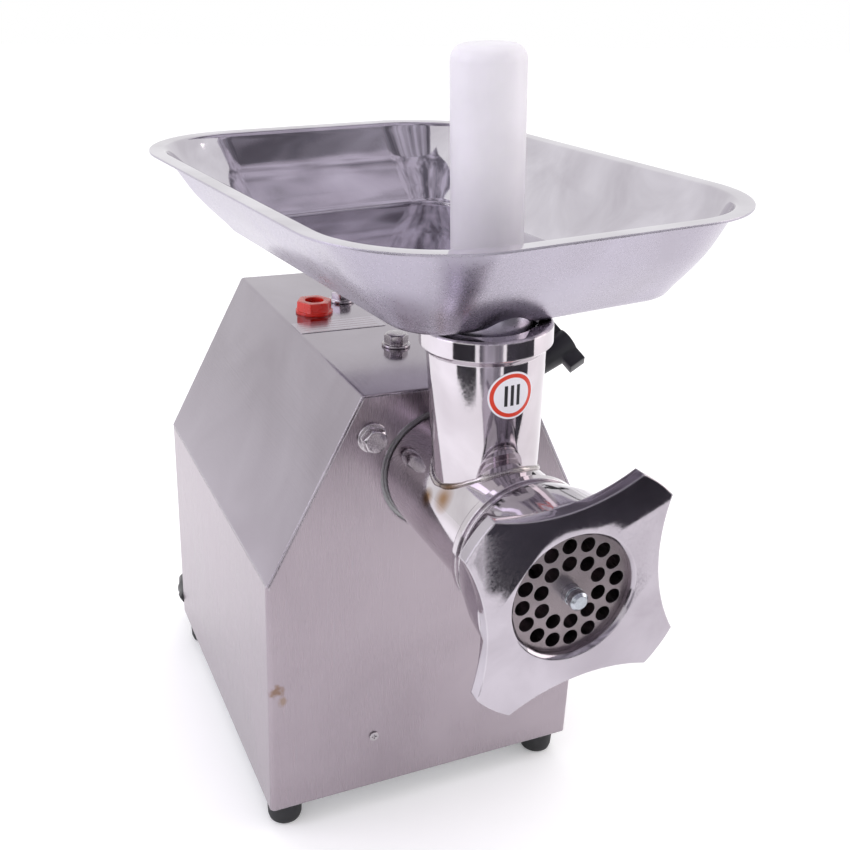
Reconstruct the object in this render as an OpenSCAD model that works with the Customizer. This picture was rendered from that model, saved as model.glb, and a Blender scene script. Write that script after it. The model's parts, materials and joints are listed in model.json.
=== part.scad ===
// Electric meat grinder: sheet-steel casing, geared motor, grinding head, hopper tray and pusher.
// Origin: centre of the four feet on the counter. The outlet faces -Y, +X is right, +Z is up.

/* [Casing] */
// Width across the lower sides
body_w = 213; // [205:1:225]
// Depth from the front panel to the rear panel
body_d = 246; // [240:1:260]
// Height of the upright sides
side_h = 163; // [155:1:170]
// Full height of the casing without its feet
body_h = 273; // [271:1:280]
// Width of the flat top
top_w = 100; // [90:1:112]
// Sheet thickness
sheet = 1.2; // [1:0.1:1.5]
// Height of a rubber foot
foot_h = 20; // [18:0.5:25]
// Largest radius of a rubber foot
foot_r = 11.6; // [11:0.2:14]

/* [Head] */
// Height of the barrel axis above the casing's lower edge
barrel_h = 221.5; // [221:0.5:223]
// Outer radius of the barrel and its spigot
barrel_r = 35.7; // [35:0.1:36.5]
// Radius of the barrel's bore around the auger
bore_r = 28; // [27:0.5:30]
// Lean of the throat to the left, in degrees
head_roll = 3.3; // [0:0.1:5]
// Distance of the throat axis in front of the casing
throat_u = 55; // [50:1:60]
// Radius of the throat's bore
throat_r = 24.5; // [23:0.5:26]
// Height of the throat's top above the barrel axis
throat_h = 108; // [100:1:120]

/* [Plate and ring nut] */
// Radius of the perforated plate
plate_r = 35; // [34:0.5:35]
// Radius of a plate hole
hole_r = 4; // [2:0.5:4]
// Radius of the nut's lobes
nut_r = 66.5; // [62:0.5:70]
// Turn of the nut from upright, in degrees
nut_turn = 8; // [0:1:89]

/* [Tray] */
// Width over the rim
tray_w = 252; // [230:1:270]
// Length over the rim
tray_l = 340; // [300:1:360]
// Depth of the basin
tray_h = 52; // [45:1:65]
// Turn of the tray on the throat, in degrees
tray_turn = 6.2; // [0:0.1:10]

/* [Drive] */
// Teeth of the output gear
output_teeth = 33; // [33]
// Teeth of the two pinions
pinion_teeth = 12; // [12]
// Teeth of the idler gear
idler_teeth = 48; // [48]

/* [Hidden] */
$fn = 64;
front_y = -body_d / 2;
rear_y = body_d / 2;
base_z = foot_h;
side_z = base_z + side_h;
top_z = base_z + body_h;
axis_z = base_z + barrel_h;
slope_x = (body_w - top_w) / 2;
slope_z = body_h - side_h;
slope_a = atan2(slope_x, slope_z);
seam = 0.3;
running = 0.06;
foot_x = 93;
foot_y = 107;
bend_r = 3;
top_bend_r = 2.5;

// Head, measured along the barrel: negative values lie in front of the front panel
spigot_end = 45;
step_v = -95.6;
thread_v = -100;
thread_r = 38;
thread_pitch = 3;
chamber_v = -120;
seat_v = -134;
head_front = -143;
plate_front = -144;
nut_back = -106;
nut_flange = -141.5;
nut_front = -148.6;
opening_r = 32.2;
journal_r = 12.45;
drive_square = 17;
knife_square = 11;

// Tray, in its own frame on the throat
tray_sheet = 1.2;
rim_corner = 70;
rim_lip = 8;
// Levels of the pan: share of its height, inset from the rim, corner radius and shift to the right
pan_levels = [[0, 44, 30, 5], [0.22, 34, 42, 4], [0.5, 22, 54, 2.5], [1, rim_lip, rim_corner - rim_lip, 0]];
throat_to_tray = [27.5, 108];
tray_gap = 1.5;
spout_r = 23.2;
pusher_r = 17.7;
pusher_low = 29;
pusher_top = 238.5;

// Clamp screw, on a radius of the socket
clamp_a = 30;
clamp_v = 31;
clamp_r = 5;
knob_turn = 38;

// Gears: module, tooth height factors and pressure angle
output_module = 2.5;
idler_module = 2;
addendum = 0.8;
dedendum = 1.05;
pressure = 25;
backlash = 0.25;
idler_z = axis_z - output_module * (output_teeth + pinion_teeth) / 2;
motor_z = idler_z - idler_module * (idler_teeth + pinion_teeth) / 2;
gear_v = 77;
idler_gear_v = 96;
case_v = 76;
cover_v = 112;
motor_v = 118;

front_bolts_at = [[-44, axis_z + 26], [44, axis_z + 26]];
top_bolts_v = [72, 170];
front_screw_at = [-38.5, base_z + 38.8];
rear_screws_at = [for (x = [-97, 97], z = [base_z + 50, side_z - 8]) [x, z], [-42, top_z - 10], [42, top_z - 10]];
cover_bolts_at = [for (x = [-46, 46], z = [axis_z + 22, idler_z + 34]) [x, z], [-42, idler_z - 42], [42, idler_z - 42]];
switch_at = [-26, 152];
gland_at = [-98.5, base_z + 10.5];
cord_hole_r = 3.75;
label_at = [-20, 120.5];
capacitor_v = 132;
capacitor_r = 20;
capacitor_x = 8;
capacitor_z = top_z - 38;

// ---- Placing and profiles ----

// Extrudes a profile drawn in world X and Z from one distance behind the front panel to another
module span(v1, v2) {
    translate([0, front_y + v2, 0]) rotate([90, 0, 0]) linear_extrude(v2 - v1) children();
}

// Turns a profile of [radius, distance behind the front panel] about an axis along Y
module turned(x = 0, z = axis_z) {
    translate([x, front_y, z]) rotate([-90, 0, 0]) rotate_extrude() children();
}

// Ring or disc along Y, from one distance behind the front panel to another
module ring(v1, v2, outer, inner = 0, x = 0, z = axis_z) {
    span(v1, v2) translate([x, z]) difference() {
        circle(outer);
        if (inner > 0) circle(inner);
    }
}

// Moves children to the barrel axis, leaning with the head, with Z up the throat
module on_throat() {
    translate([0, front_y - throat_u, axis_z]) rotate([0, -head_roll, 0]) children();
}

// The bend between a slope and the top; side is 1 at the right and -1 at the left
function top_bend(side, inset) = let (
        turn = 90 - slope_a,
        centre = [side * (top_w / 2 - top_bend_r * tan(turn / 2)), top_z - top_bend_r])
    [for (k = [0:4]) let (a = 90 - side * turn * (side > 0 ? 4 - k : k) / 4)
        centre + (top_bend_r - inset) * [cos(a), sin(a)]];

// The casing's front profile, set in from its outer faces
function house(inset) = let (
        shoulder = side_z - inset * tan(slope_a / 2),
        x = body_w / 2 - inset)
    [[-x, base_z], [x, base_z], [x, shoulder], each top_bend(1, inset), each top_bend(-1, inset), [-x, shoulder]];

module rounded(w, l, r) {
    square([w - 2 * r, l], center = true);
    square([w, l - 2 * r], center = true);
    for (x = [-1, 1], y = [-1, 1]) translate([x * (w / 2 - r), y * (l / 2 - r)]) circle(r);
}

module hex_flange_bolt(shank) {
    cylinder(h = 1.6, r = 8.9);
    translate([0, 0, 1.6]) cylinder(h = 6.4, r = 7.5, $fn = 6);
    translate([0, 0, -shank]) cylinder(h = shank, r = 4);
}

module pan_screw(shank) {
    intersection() {
        cylinder(h = 2, r = 3.2);
        translate([0, 0, -2.4]) sphere(4.6);
    }
    translate([0, 0, -shank]) cylinder(h = shank, r = 1.6);
}

// ---- Casing ----

module front_wrap() {
    color("lightsteelblue") difference() {
        union() {
            intersection() {
                translate([0, 0, base_z]) linear_extrude(side_h) difference() {
                    rounded(body_w, body_d, bend_r);
                    rounded(body_w - 2 * sheet, body_d - 2 * sheet, bend_r - sheet);
                }
                translate([-body_w, front_y - 1, 0]) cube([2 * body_w, body_d - 1, top_z]);
            }
            span(0, sheet) intersection() {
                polygon(house(sheet + seam));
                translate([-body_w / 2, side_z - 2]) square([body_w, slope_z + 2]);
            }
        }
        ring(-1, 5, barrel_r + 2.2);
        for (p = front_bolts_at) ring(-1, 5, 4.4, x = p.x, z = p.y);
        ring(-1, 5, 1.8, x = front_screw_at.x, z = front_screw_at.y);
    }
}

module top_cover() {
    color("lightsteelblue") difference() {
        span(0, body_d) difference() {
            polygon(house(0));
            polygon(house(sheet));
            translate([-body_w, 0]) square([2 * body_w, side_z + 0.2]);
        }
        for (v = top_bolts_v) translate([0, front_y + v, top_z - 5]) cylinder(h = 9, r = 4.4);
        translate([switch_at.x, front_y + switch_at.y, top_z - 5]) cylinder(h = 9, r = 8.1);
        clamp_place() cylinder(h = 40, r = 8);
    }
}

module rear_panel() {
    slot_pitch = 8;
    color("lightsteelblue") difference() {
        span(body_d - sheet, body_d) polygon(house(sheet + seam));
        for (side = [-1, 1], n = [0:8])
            span(body_d - 5, body_d + 1) translate([side * 26, side_z - 20 - n * slot_pitch]) {
                square([36, 3], center = true);
                for (x = [-18, 18]) translate([x, 0]) circle(1.5);
            }
        ring(body_d - 5, body_d + 1, 6.1, x = gland_at.x, z = gland_at.y);
        for (p = rear_screws_at) ring(body_d - 5, body_d + 1, 1.8, x = p.x, z = p.y);
    }
}

module base_plate() {
    lip = 12;
    color("silver") translate([0, 0, base_z]) difference() {
        union() {
            linear_extrude(1.5) rounded(body_w - 2 * sheet - 0.4, body_d - 2 * sheet - 0.4, 1.5);
            for (y = [-1, 1]) translate([-80, y * (body_d / 2 - sheet - 1) - 0.75, 0]) cube([160, 1.5, lip]);
        }
        for (x = [-foot_x, foot_x], y = [-foot_y, foot_y]) translate([x, y, -1]) cylinder(h = 4, r = 3.1);
        for (n = [-4:4]) translate([n * 12 - 2, 48, -1]) cube([4, 46, 4]);
    }
}

module foot(x, y) {
    color("black") translate([x, y, 0]) rotate_extrude()
        polygon([[3.1, 7], [3.1, foot_h], [foot_r, foot_h], [foot_r - 0.8, 4],
                 [foot_r - 1.6, 1.4], [foot_r - 3.4, 0], [6, 0], [6, 7]]);
}

module foot_screws() {
    color("silver") for (x = [-foot_x, foot_x], y = [-foot_y, foot_y]) translate([x, y, 0]) {
        translate([0, 0, 4]) cylinder(h = 3, r = 5.4);
        translate([0, 0, 7]) cylinder(h = foot_h, r = 3);
        translate([0, 0, base_z + 1.5]) cylinder(h = 5, r = 5.8, $fn = 6);
    }
}

module panel_screws() {
    color("silver") {
        translate([front_screw_at.x, front_y, front_screw_at.y]) rotate([90, 0, 0]) pan_screw(7);
        for (p = rear_screws_at) translate([p.x, rear_y, p.y]) rotate([-90, 0, 0]) pan_screw(7);
    }
}

module top_bolts() {
    color("silver") for (v = top_bolts_v) translate([0, front_y + v, top_z]) rotate(11) hex_flange_bolt(14);
}

module front_bolts() {
    color("silver") for (p = front_bolts_at)
        translate([p.x, front_y, p.y]) rotate([90, 0, 0]) rotate(17) hex_flange_bolt(14);
}

module label_plate() {
    color("white") translate([label_at.x, front_y + label_at.y, top_z]) linear_extrude(0.3) rounded(58, 21, 1.5);
}

// ---- Switch and mains entry ----

module switch_cap() {
    color("red") translate([switch_at.x, front_y + switch_at.y, top_z]) difference() {
        union() {
            cylinder(h = 1.8, r = 12.4);
            intersection() {
                translate([0, 0, 1.8]) cylinder(h = 6.4, r = 12, $fn = 6);
                translate([0, 0, -5.2]) sphere(17.6);
            }
        }
        translate([0, 0, 1.8]) cylinder(h = 8, r = 6.3);
        translate([0, 0, -1]) cylinder(h = 4, r = 5);
    }
}

module switch_body() {
    color("dimgray") translate([switch_at.x, front_y + switch_at.y, top_z]) difference() {
        union() {
            translate([0, 0, -22]) cylinder(h = 22, r = 8);
            translate([0, 0, -sheet - 4]) cylinder(h = 4, r = 12, $fn = 6);
            translate([-11, -13, -42]) cube([22, 26, 20]);
        }
        translate([0, 0, -12]) cylinder(h = 14, r = 5);
    }
    color("gold") for (x = [-6, 6], y = [-7, 7])
        translate([switch_at.x + x - 0.4, front_y + switch_at.y + y - 2.4, top_z - 50]) cube([0.8, 4.8, 8]);
}

module switch_button() {
    color("firebrick") translate([switch_at.x, front_y + switch_at.y, top_z]) {
        translate([0, 0, -7]) cylinder(h = 12, r = 4.8);
        translate([0, 0, 4.4]) cylinder(h = 1.2, r = 6);
    }
}

module cable_gland() {
    color("black") translate([gland_at.x, rear_y, gland_at.y]) rotate([-90, 0, 0]) difference() {
        union() {
            translate([0, 0, -7]) cylinder(h = 7, r = 6);
            cylinder(h = 6, r = 10.4, $fn = 6);
            translate([0, 0, 6]) cylinder(h = 9, r = 9);
            translate([0, 0, 15]) cylinder(h = 14, r1 = 8, r2 = 5);
        }
        translate([0, 0, -8]) cylinder(h = 40, r = cord_hole_r);
    }
}

module gland_nut() {
    color("black") translate([gland_at.x, rear_y - sheet, gland_at.y]) rotate([90, 0, 0]) difference() {
        rotate(30) cylinder(h = 5, r = 7.6, $fn = 6);
        translate([0, 0, -1]) cylinder(h = 7, r = 6);
    }
}

// ---- Gears ----

function involute(a) = tan(a) - a * PI / 180;

// Points of one spur gear; the first tooth points along +Y of the profile
function gear_points(teeth, module_mm) = let (
        pitch = teeth * module_mm / 2,
        base = pitch * cos(pressure),
        tip = pitch + addendum * module_mm,
        root = pitch - dedendum * module_mm,
        half = (90 / teeth) - (backlash / 2 / pitch) * 180 / PI,
        start = max(base, root),
        radii = [root, for (n = [0:3]) start + 0.01 + n * (tip - start - 0.01) / 3],
        angles = [for (r = radii) half + (involute(pressure)
                  - (r > base ? involute(acos(base / r)) : 0)) * 180 / PI])
    [for (t = [0:teeth - 1], side = [-1, 1], n = [0:4]) let (
        k = side < 0 ? n : 4 - n,
        a = 90 + t * 360 / teeth + side * angles[k])
        radii[k] * [cos(a), sin(a)]];

module gear(teeth, module_mm, turn = 0) {
    rotate(turn) polygon(gear_points(teeth, module_mm));
}

// ---- Gearbox ----

module gearbox_housing() {
    wall = 4;
    color("gray") difference() {
        union() {
            ring(sheet + seam, case_v, 46);
            for (p = front_bolts_at) ring(sheet + seam, 20, 9, x = p.x, z = p.y);
            clamp_place(from = 40) cylinder(h = 24, r = 10);
            span(case_v - 6, cover_v) gear_case(0);
            translate([-13, front_y + top_bolts_v[0] - 13, axis_z + 30])
                cube([26, 26, top_z - sheet - seam - axis_z - 30]);
        }
        ring(0, spigot_end + 1.5, barrel_r + running);
        ring(40, 50, 24);
        ring(49, case_v + 1, 27.5);
        ring(71, cover_v + 1, 11, z = idler_z);
        span(case_v, cover_v + 1) gear_case(wall);
        for (p = front_bolts_at) ring(0, 16, 4, x = p.x, z = p.y);
        translate([0, front_y + top_bolts_v[0], top_z - 14]) cylinder(h = 20, r = 4);
        clamp_place(from = 30) cylinder(h = 40, r = clamp_r + running);
        for (p = cover_bolts_at) ring(cover_v - 14, cover_v + 1, 2.5, x = p.x, z = p.y);
    }
}

// Outline of the gear case in world X and Z, set in by a wall
module gear_case(inset) {
    translate([0, axis_z]) circle(49 - inset);
    translate([0, idler_z]) circle(57 - inset);
    translate([0, motor_z]) circle(24 - inset);
    translate([-40 + inset, idler_z - 20]) square([80 - 2 * inset, axis_z - idler_z + 45 - inset]);
    translate([-24 + inset, motor_z]) square([48 - 2 * inset, idler_z - motor_z]);
    if (inset == 0) for (p = cover_bolts_at) translate(p) circle(6);
}

module gearbox_cover() {
    color("gray") difference() {
        span(cover_v, motor_v) gear_case(0);
        ring(cover_v - 1, motor_v + 1, 17.5, z = motor_z);
        ring(cover_v - 1, cover_v + 4.5, 11, z = idler_z);
        for (p = cover_bolts_at) ring(cover_v - 1, motor_v + 1, 2.6, x = p.x, z = p.y);
    }
}

module cover_bolts() {
    color("silver") for (p = cover_bolts_at) {
        ring(cover_v - 12, motor_v, 2.45, x = p.x, z = p.y);
        ring(motor_v, motor_v + 5, 4.2, x = p.x, z = p.y);
    }
}

module oil_seal() {
    color("saddlebrown") ring(46.6, 49, 23.9, 20.2);
}

module output_bearings() {
    color("silver") for (v = [49.5, 62.75]) turned()
        polygon([[15.06, v], [19, v], [19, v + 1], [23.5, v + 1], [23.5, v], [27.5, v],
                 [27.5, v + 13], [23.5, v + 13], [23.5, v + 12], [19, v + 12], [19, v + 13], [15.06, v + 13]]);
}

module idler_bushes() {
    color("goldenrod") {
        ring(71, case_v, 11, 7.56, z = idler_z);
        ring(cover_v, cover_v + 4.5, 11, 7.56, z = idler_z);
    }
}

module output_shaft() {
    color("lightgray") difference() {
        union() {
            ring(46.8, 49.3, 20);
            ring(49.3, gear_v, 15);
            ring(gear_v, gear_v + 17, 13);
        }
        span(46, 66) translate([0, axis_z]) square(drive_square + 0.2, center = true);
    }
}

module output_gear() {
    color("darkgray") difference() {
        union() {
            span(gear_v, gear_v + 15) translate([0, axis_z]) gear(output_teeth, output_module);
            ring(gear_v, gear_v + 17, 19);
        }
        ring(gear_v - 1, gear_v + 18, 13);
    }
}

module idler_shaft() {
    color("lightgray") {
        ring(71.2, cover_v + 4.3, 7.5, z = idler_z);
        span(gear_v + 0.5, gear_v + 16.5) translate([0, idler_z]) gear(pinion_teeth, output_module);
    }
}

module idler_gear() {
    color("darkgray") difference() {
        union() {
            span(idler_gear_v, idler_gear_v + 12) translate([0, idler_z]) gear(idler_teeth, idler_module);
            ring(idler_gear_v - 2, idler_gear_v + 14, 16, z = idler_z);
        }
        ring(idler_gear_v - 3, idler_gear_v + 15, 7.5, z = idler_z);
    }
}

// ---- Motor ----

module motor_shaft() {
    color("lightgray") {
        ring(idler_gear_v + 13, 224, 8, z = motor_z);
        span(idler_gear_v - 1, idler_gear_v + 13) translate([0, motor_z])
            gear(pinion_teeth, idler_module, 180 / pinion_teeth);
    }
}

module rotor_core() {
    color("dimgray") ring(134, 186, 33, 8, z = motor_z);
}

module motor_bearings() {
    color("silver") for (v = [120, 197]) ring(v, v + 11, 17.5, 8.06, z = motor_z);
}

module stator_core() {
    color("slategray") difference() {
        ring(136, 184, 55, 33.6, z = motor_z);
        for (n = [0:23]) span(135, 185) translate([0, motor_z]) rotate(n * 15) translate([35.5, -1.6]) square([11, 3.2]);
    }
}

module stator_windings() {
    color("peru") for (v = [129, 184.3]) turned(z = motor_z)
        polygon([[37, v], [46, v], [48.5, v + 2], [48.5, v + 6.5], [37, v + 6.5]]);
}

module motor_housing() {
    fins = 24;
    color("darkgray") difference() {
        union() {
            ring(126, 194, 58.5, z = motor_z);
            for (n = [0:fins - 1]) span(130, 190) translate([0, motor_z]) rotate(n * 360 / fins + 7.5)
                translate([57, -1]) square([5, 2]);
        }
        ring(125, 195, 55, z = motor_z);
    }
}

// End bracket along the motor axis: a dished disc with a bearing seat
module end_bracket(v1, v2, seat1, seat2) {
    color("darkgray") difference() {
        ring(v1, v2, 58.5, 0, z = motor_z);
        ring(seat1, seat2, 17.5, z = motor_z);
        ring(v1 - 1, v2 + 1, 10, z = motor_z);
        for (n = [0:3]) ring(v1 - 1, v2 + 1, 2.6, x = 51 * cos(45 + n * 90), z = motor_z + 51 * sin(45 + n * 90));
    }
}

module front_bracket() {
    difference() {
        end_bracket(motor_v, 126, 117, 126.5);
        for (p = cover_bolts_at) ring(motor_v - 1, motor_v + 6, 5.2, x = p.x, z = p.y);
    }
}

module rear_bracket() {
    end_bracket(194, 208, 197, 208.5);
}

module tie_bolts() {
    color("silver") for (n = [0:3]) {
        x = 51 * cos(45 + n * 90);
        z = motor_z + 51 * sin(45 + n * 90);
        ring(motor_v + 1, 126, 2.5, x = x, z = z);
        ring(194, 208, 2.5, x = x, z = z);
        ring(208, 212, 4.5, x = x, z = z);
    }
}

module cooling_fan() {
    color("ivory") {
        ring(212, 223, 14, 8, z = motor_z);
        for (n = [0:8]) span(213, 223) translate([0, motor_z]) rotate(n * 40) translate([13, -0.9]) square([31, 1.8]);
        ring(212, 213.5, 44, 13, z = motor_z);
    }
}

module fan_cowl() {
    color("dimgray") difference() {
        ring(209, 229, 60, z = motor_z);
        ring(208, 227.5, 58.6, z = motor_z);
        for (r = [18, 27, 36, 45], n = [0:7]) ring(227, 230, 3, x = r * cos(n * 45 + r), z = motor_z + r * sin(n * 45 + r));
    }
}

module motor_cradle() {
    deck_z = base_z + 1.5;
    color("silver") difference() {
        translate([-46, front_y + 134, deck_z]) cube([92, 52, motor_z - deck_z]);
        ring(133, 187, 62.2, z = motor_z);
        translate([-43, front_y + 133, deck_z + 3]) cube([86, 54, 32]);
        translate([-60, front_y + 137, deck_z + 3]) cube([120, 46, 90]);
    }
}

// ---- Electrics ----

module capacitor() {
    color("whitesmoke") ring(capacitor_v, capacitor_v + 88, capacitor_r, x = capacitor_x, z = capacitor_z);
    color("gold") for (x = [-7, 7])
        ring(capacitor_v + 88, capacitor_v + 96, 1.6, x = capacitor_x + x, z = capacitor_z);
}

module capacitor_bracket() {
    v = top_bolts_v[1];
    color("silver") difference() {
        union() {
            ring(v - 12, v + 12, capacitor_r + 1.5, x = capacitor_x, z = capacitor_z);
            translate([-11, front_y + v - 12, capacitor_z + 12]) cube([22, 24, top_z - sheet - seam - capacitor_z - 12]);
        }
        ring(v - 13, v + 13, capacitor_r, x = capacitor_x, z = capacitor_z);
        translate([0, front_y + v, top_z - 14]) cylinder(h = 20, r = 4);
    }
}

module terminal_block() {
    color("beige") difference() {
        translate([-88, front_y + 178, base_z + 1.5]) cube([20, 50, 14]);
        for (n = [0:3]) translate([-88 + 10, front_y + 184 + n * 12.5, base_z + 6]) cylinder(h = 20, r = 2.6);
    }
}

// ---- Clamp ----

// Places children on the clamp's radius of the socket, starting at a distance from the barrel axis
module clamp_place(from = 50) {
    translate([0, front_y + clamp_v, axis_z]) rotate([0, 90 - clamp_a, 0]) translate([0, 0, from]) children();
}

module clamp_screw() {
    color("silver") clamp_place(from = barrel_r + 0.15) {
        cylinder(h = 1.5, r1 = 3.5, r2 = clamp_r);
        translate([0, 0, 1.5]) cylinder(h = 60, r = clamp_r);
    }
}

module clamp_knob() {
    bar = [9.4, 32, 11];
    hub_h = 19;
    color("black") clamp_place(from = 84) rotate(knob_turn) difference() {
        union() {
            cylinder(h = hub_h, r1 = 7.5, r2 = 9);
            translate([0, 0, hub_h]) cylinder(h = bar.z, r = 9);
            translate([-bar.x / 2, -bar.y / 2, hub_h]) cube(bar);
        }
        translate([0, 0, -1]) cylinder(h = 14.35, r = clamp_r);
    }
}

// ---- Grinding head ----

module head_body() {
    neck_low = 25;
    neck_high = 94.5;
    collar_z = 98;
    color("silver") difference() {
        union() {
            ring(step_v, spigot_end, barrel_r);
            ring(thread_v, step_v, 39.1);
            ring(head_front, thread_v, thread_r - 1);
            for (v = [thread_v - 1.6:-thread_pitch:head_front + 1]) turned()
                polygon([[30, v - 1], [thread_r - 1, v - 1], [thread_r, v - 0.4], [thread_r, v + 0.4],
                         [thread_r - 1, v + 1], [30, v + 1]]);
            on_throat() rotate_extrude()
                polygon([[0, 0], [27.6, 0], [27.6, neck_low], [30.4, neck_high], [33.8, collar_z],
                         [33.8, throat_h - 1], [32.8, throat_h], [0, throat_h]]);
        }
        ring(chamber_v - 1, -8, bore_r);
        ring(seat_v - 1, chamber_v, 34.2);
        ring(head_front - 1, seat_v, plate_r + 0.1);
        ring(-9, spigot_end + 1, journal_r + running);
        on_throat() {
            cylinder(h = throat_h + 1, r = throat_r);
            translate([0, 0, throat_h - 1.5]) cylinder(h = 1.6, r1 = throat_r, r2 = throat_r + 1.6);
        }
        // The throat's bore stops at the auger
        span(-throat_u - throat_r, -throat_u + throat_r) translate([0, axis_z]) circle(bore_r);
    }
}

module auger() {
    flight_len = 107;
    flight_turns = 2.6;
    flight_half = 9;
    flight_r = bore_r - 0.6;
    tang_v = spigot_end - 14;
    color("gainsboro") {
        ring(chamber_v + 0.5, -12.5, 12);
        translate([0, front_y - 12.7, axis_z]) rotate([90, 0, 0])
            linear_extrude(flight_len, twist = -360 * flight_turns, slices = 80)
                polygon([for (a = [-flight_half:flight_half:flight_half]) flight_r * [cos(a), sin(a)],
                         8 * [cos(2 * flight_half), sin(2 * flight_half)],
                         8 * [cos(2 * flight_half), -sin(2 * flight_half)]]);
        ring(-12.7, tang_v, journal_r);
        span(tang_v, 64) translate([0, axis_z]) intersection() {
            square(drive_square, center = true);
            circle(11.4);
        }
        span(seat_v + 1, chamber_v + 0.5) translate([0, axis_z]) square(knife_square, center = true);
    }
}

module auger_washer() {
    color("ivory") ring(-12, -8, bore_r - 1, journal_r + running);
}

module auger_stud() {
    color("silver") {
        ring(-147.5, seat_v + 1, 4.94);
        ring(-148.7, -147.5, 4.1);
        turned() polygon([[0, -153.6], [3.4, -153.6], [4.8, -152.2], [4.8, -148.7], [0, -148.7]]);
    }
}

module knife() {
    color("silver") difference() {
        span(seat_v + 0.1, seat_v + 11) translate([0, axis_z]) {
            circle(12);
            for (n = [0:3]) rotate(n * 90 + 20) polygon([[0, -6], [31, -2.5], [31, 4.5], [0, 9]]);
        }
        span(seat_v - 1, seat_v + 12) translate([0, axis_z]) square(knife_square + 0.2, center = true);
    }
}

module grinder_plate() {
    rings = [[10, 16.15, 96.9], [16, 25.6, 96.3]];
    color("gray") difference() {
        ring(plate_front, seat_v, plate_r);
        ring(plate_front - 1, seat_v + 1, 5);
        for (row = rings, n = [0:row[0] - 1]) ring(plate_front - 1, seat_v + 1, hole_r,
            x = row[1] * cos(row[2] + n * 360 / row[0]), z = axis_z + row[1] * sin(row[2] + n * 360 / row[0]));
    }
}

module ring_nut() {
    hollow_r = 98.3;
    hollow_d = 144.8;
    color("gainsboro") difference() {
        union() {
            turned() polygon([[30, nut_back], [40, nut_back], [44.7, -123], [47.2, nut_flange], [30, nut_flange]]);
            span(nut_front, nut_flange) translate([0, axis_z]) difference() {
                circle(nut_r);
                for (n = [0:3]) rotate(nut_turn + n * 90) translate([0, hollow_d]) circle(hollow_r);
            }
        }
        ring(plate_front - 0.05, nut_back + 1, thread_r + 0.3);
        turned() polygon([[0, nut_front - 1], [opening_r + 1.6, nut_front - 1], [opening_r + 1.6, nut_front],
                          [opening_r, nut_front + 1.6], [opening_r, 0], [0, 0]]);
    }
}

// ---- Tray and pusher ----

// Places children on top of the throat, turned and levelled as the tray sits
module tray_place() {
    on_throat() translate([0, 0, throat_h + tray_gap]) rotate([0.5, head_roll - 1.3, tray_turn]) children();
}

// Solid of the pan's basin, with its walls moved inwards
module pan_shape(inwards) {
    hull() for (level = pan_levels) {
        inset = 2 * (level[1] + inwards);
        translate([level[3], 0, level[0] * tray_h]) linear_extrude(0.01)
            rounded(tray_w - inset, tray_l - inset, level[2] - inwards, $fn = 32);
    }
}

module tray_pan() {
    color("lightgray") tray_place() difference() {
        translate([throat_to_tray.x, throat_to_tray.y, 0]) difference() {
            union() {
                pan_shape(0);
                translate([0, 0, tray_h - tray_sheet]) linear_extrude(tray_sheet + 0.01) rounded(tray_w, tray_l, rim_corner);
            }
            translate([0, 0, tray_sheet]) pan_shape(tray_sheet);
        }
        translate([0, 0, -1]) cylinder(h = tray_h - 5, r = spout_r);
    }
}

// Tube welded into the pan's near end; its top follows the pan's floor and wall
module tray_spout() {
    color("lightgray") tray_place() difference() {
        translate([0, 0, -24]) cylinder(h = 46, r = spout_r);
        translate([0, 0, -25]) cylinder(h = 60, r = spout_r - 1);
        translate([throat_to_tray.x, throat_to_tray.y, tray_sheet]) pan_shape(tray_sheet);
    }
}

module pusher() {
    dome = 7;
    color("white") on_throat() rotate_extrude() union() {
        translate([0, pusher_low]) square([pusher_r, pusher_top - pusher_low - dome]);
        translate([0, pusher_top - dome]) square([pusher_r - dome, dome]);
        translate([pusher_r - dome, pusher_top - dome]) intersection() {
            circle(dome);
            square(dome);
        }
    }
}

// ---- Assembly ----

front_wrap();
top_cover();
rear_panel();
base_plate();
foot(-foot_x, -foot_y);  // foot_front_left
foot(foot_x, -foot_y);  // foot_front_right
foot(-foot_x, foot_y);  // foot_rear_left
foot(foot_x, foot_y);  // foot_rear_right
foot_screws();
panel_screws();
top_bolts();
front_bolts();
label_plate();
switch_cap();
switch_body();
switch_button();
cable_gland();
gland_nut();
gearbox_housing();
gearbox_cover();
cover_bolts();
oil_seal();
output_bearings();
idler_bushes();
output_shaft();
output_gear();
idler_shaft();
idler_gear();
motor_shaft();
rotor_core();
motor_bearings();
stator_core();
stator_windings();
motor_housing();
front_bracket();
rear_bracket();
tie_bolts();
cooling_fan();
fan_cowl();
motor_cradle();
capacitor();
capacitor_bracket();
terminal_block();
clamp_knob();
clamp_screw();
head_body();
auger();
auger_stud();
auger_washer();
knife();
grinder_plate();
ring_nut();
tray_pan();
tray_spout();
pusher();
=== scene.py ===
import bpy
import json
import math
import random
from mathutils import Matrix, Vector

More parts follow.
